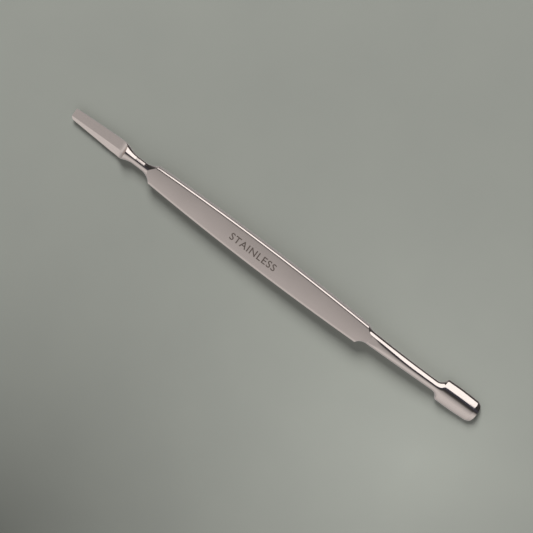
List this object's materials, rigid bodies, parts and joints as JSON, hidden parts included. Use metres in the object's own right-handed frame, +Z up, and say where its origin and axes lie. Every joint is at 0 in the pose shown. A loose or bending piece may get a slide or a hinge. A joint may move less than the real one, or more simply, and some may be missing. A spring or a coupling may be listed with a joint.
{
  "type": "cuticle pusher",
  "caption": "Double-ended steel cuticle pusher: flat tapered handle, an arched pusher on a bent round shank at one end and a flat bevelled scraper blade on a round neck at the other.",
  "frame": {"origin": "under the middle of the tool's length, on the surface that the tool lies on", "axes": "+X runs along the tool from the scraper blade to the pusher, +Y across it, +Z up, away from the pusher's hollow"},
  "size_m": [0.13, 0.0072, 0.0045],
  "materials": {
    "handle_steel": "polished stainless steel with a fine lengthwise grain",
    "scraper_steel": "polished stainless steel, blade ground",
    "pusher_steel": "polished stainless steel"
  },
  "bodies": {
    "root": {"handle": "handle_steel", "scraper_end": "scraper_steel", "pusher_end": "pusher_steel"}
  },
  "joints": []
}
